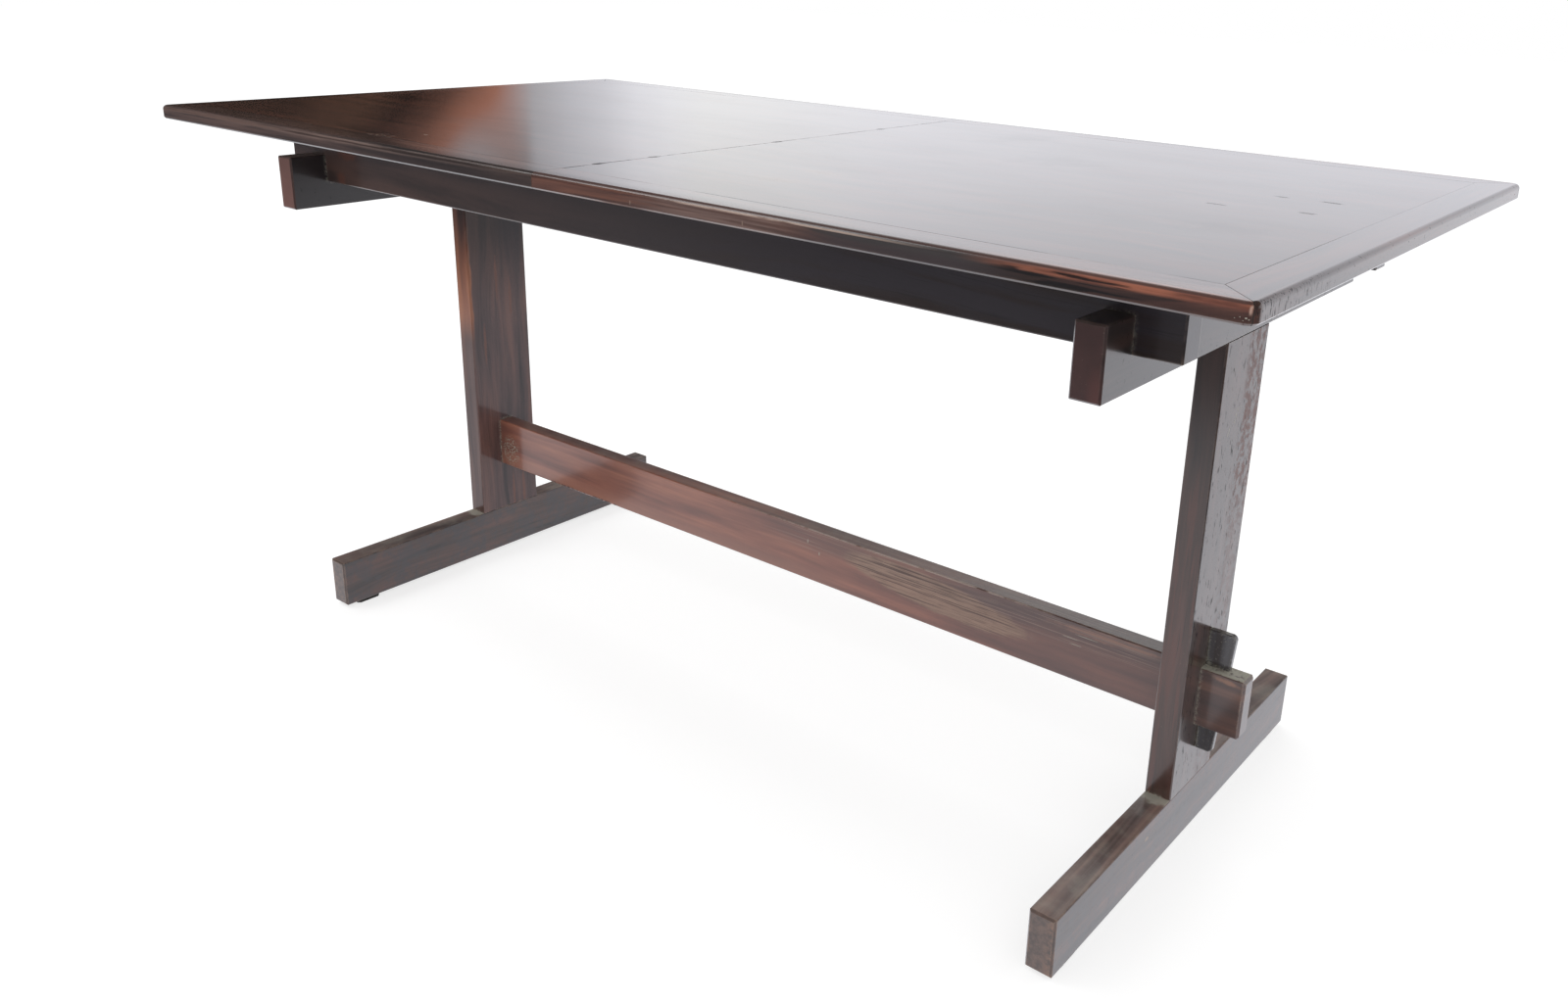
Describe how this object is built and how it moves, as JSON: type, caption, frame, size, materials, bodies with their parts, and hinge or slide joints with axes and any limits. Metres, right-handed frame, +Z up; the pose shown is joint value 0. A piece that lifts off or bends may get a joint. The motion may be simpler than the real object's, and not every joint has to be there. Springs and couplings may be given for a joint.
{
  "type": "extending trestle dining table",
  "caption": "Rectangular dark wood dining table on two trestles tied by a stretcher with wedge keys; the two halves of the top draw apart at a centre seam.",
  "frame": {"origin": "on the floor under the middle of the table", "axes": "+X along the table towards its right end, +Y towards its back, +Z up"},
  "size_m": [1.6, 0.825, 0.76],
  "materials": {
    "panel_veneer": "glossy lacquered rosewood veneer",
    "rail_wood": "glossy lacquered solid rosewood",
    "frame_wood": "lacquered solid rosewood, worn at the edges",
    "key_wood": "dark waxed wood, dusty",
    "runner_wood": "plain waxed hardwood",
    "foot_pad": "dull",
    "screw_steel": "dull zinc"
  },
  "bodies": {
    "trestle_frame": {"front_apron": "frame_wood", "front_batten": "runner_wood", "front_batten_screws": "screw_steel", "back_apron": "frame_wood", "back_batten": "runner_wood", "back_batten_screws": "screw_steel", "left_bearer": "frame_wood", "left_bearer_screws": "screw_steel", "left_upright": "frame_wood", "left_foot": "frame_wood", "left_front_pad": "foot_pad", "left_back_pad": "foot_pad", "right_bearer": "frame_wood", "right_bearer_screws": "screw_steel", "right_upright": "frame_wood", "right_foot": "frame_wood", "right_front_pad": "foot_pad", "right_back_pad": "foot_pad", "stretcher": "frame_wood"},
    "left_leaf": {"left_panel": "panel_veneer", "left_end_rail": "rail_wood", "left_front_rail": "rail_wood", "left_back_rail": "rail_wood", "left_front_runner": "runner_wood", "left_back_runner": "runner_wood", "left_runner_screws": "screw_steel", "left_stop_pegs": "runner_wood", "seam_dowels": "runner_wood"},
    "right_leaf": {"right_panel": "panel_veneer", "right_end_rail": "rail_wood", "right_front_rail": "rail_wood", "right_back_rail": "rail_wood", "right_front_runner": "runner_wood", "right_back_runner": "runner_wood", "right_runner_screws": "screw_steel", "right_stop_pegs": "runner_wood"},
    "left_key": {"left_key": "key_wood"},
    "right_key": {"right_key": "key_wood"}
  },
  "joints": [
    {"name": "left_leaf_slide", "type": "slide", "parent": "trestle_frame", "child": "left_leaf", "axis": [-1, 0, 0], "range_m": [0, 0.25]},
    {"name": "right_leaf_slide", "type": "slide", "parent": "trestle_frame", "child": "right_leaf", "axis": [1, 0, 0], "range_m": [0, 0.25]},
    {"name": "left_key_lift", "type": "slide", "parent": "trestle_frame", "child": "left_key", "axis": [0, 0, 1], "range_m": [0, 0.165]},
    {"name": "right_key_lift", "type": "slide", "parent": "trestle_frame", "child": "right_key", "axis": [0, 0, 1], "range_m": [0, 0.165]}
  ]
}
